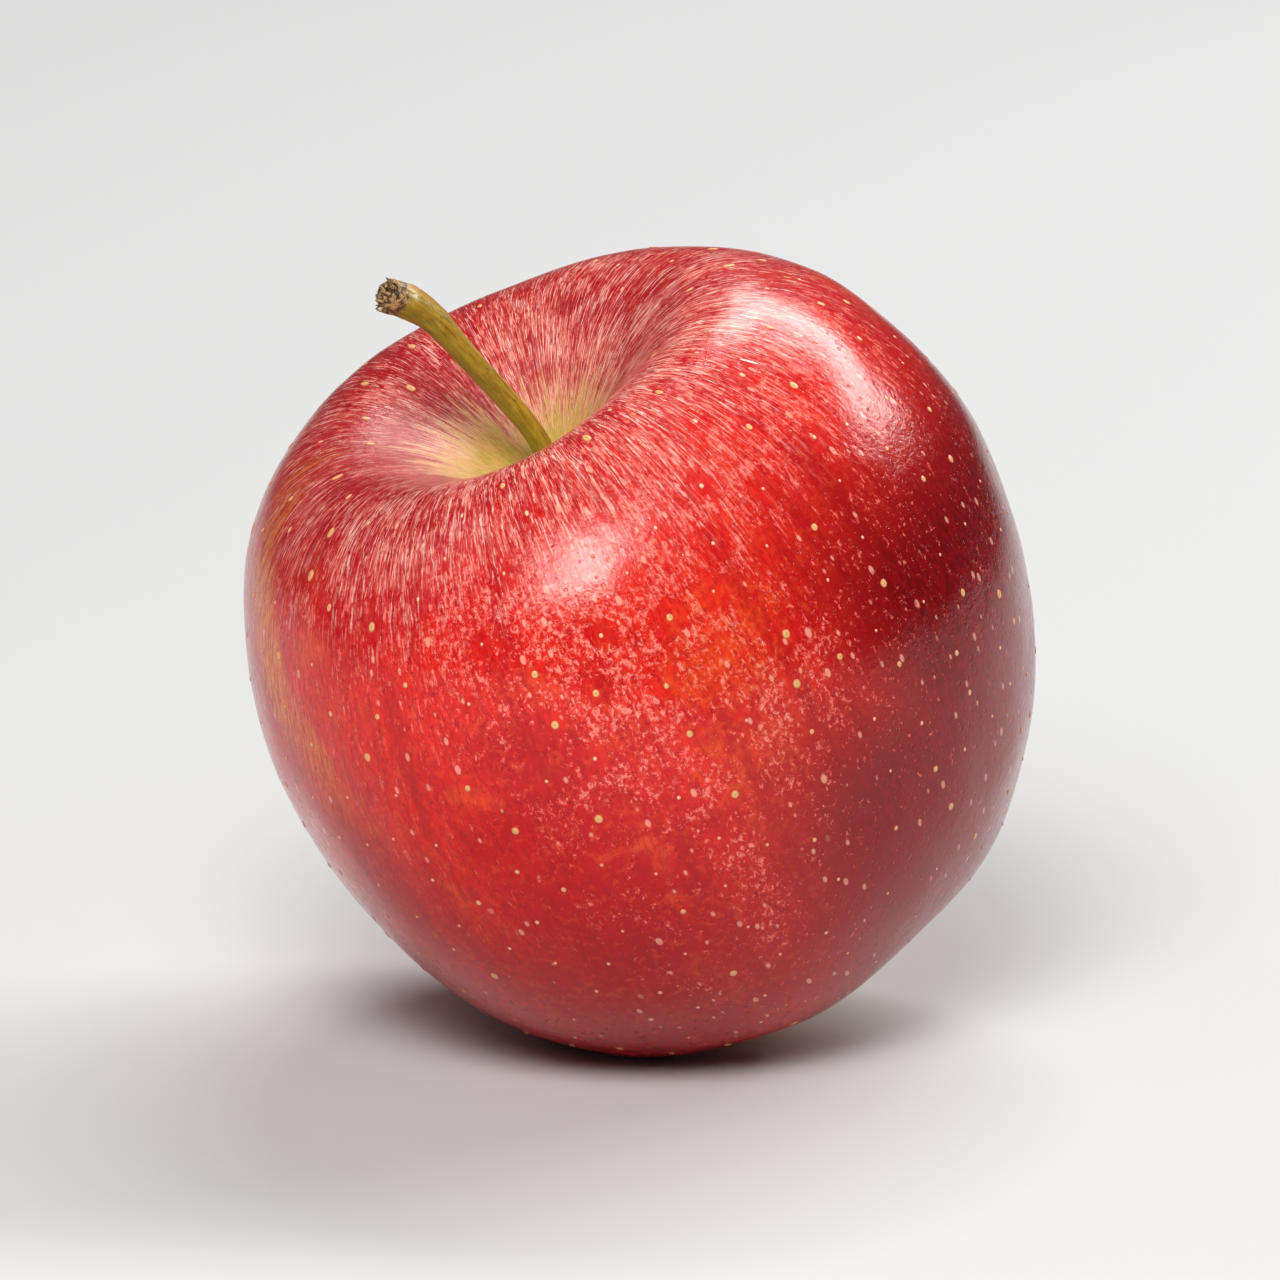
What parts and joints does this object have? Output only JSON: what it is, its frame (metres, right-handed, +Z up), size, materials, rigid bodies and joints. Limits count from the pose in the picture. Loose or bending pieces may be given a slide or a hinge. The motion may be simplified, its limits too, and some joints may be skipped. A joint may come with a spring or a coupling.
{
  "type": "apple",
  "caption": "Ripe red dessert apple with a bent woody stem and a dried calyx, leaning as it rests on a small flat spot beside its base.",
  "frame": {"origin": "on the surface the apple rests on, under the middle of its bounding box", "axes": "+Z up, away from the surface; -Y towards the side the stem cavity leans to, where a viewer sees into it; +X to that viewer's right"},
  "size_m": [0.0752, 0.0746, 0.0764],
  "materials": {
    "skin": "waxy gloss, red with fine pale flecks and lenticels",
    "stem": "matte, green to brown bark with a corky broken end",
    "sepal": "dry, matte and downy"
  },
  "bodies": {
    "root": {"fruit": "skin", "stem": "stem", "sepal_1": "sepal", "sepal_2": "sepal", "sepal_3": "sepal", "sepal_4": "sepal", "sepal_5": "sepal"}
  },
  "joints": []
}
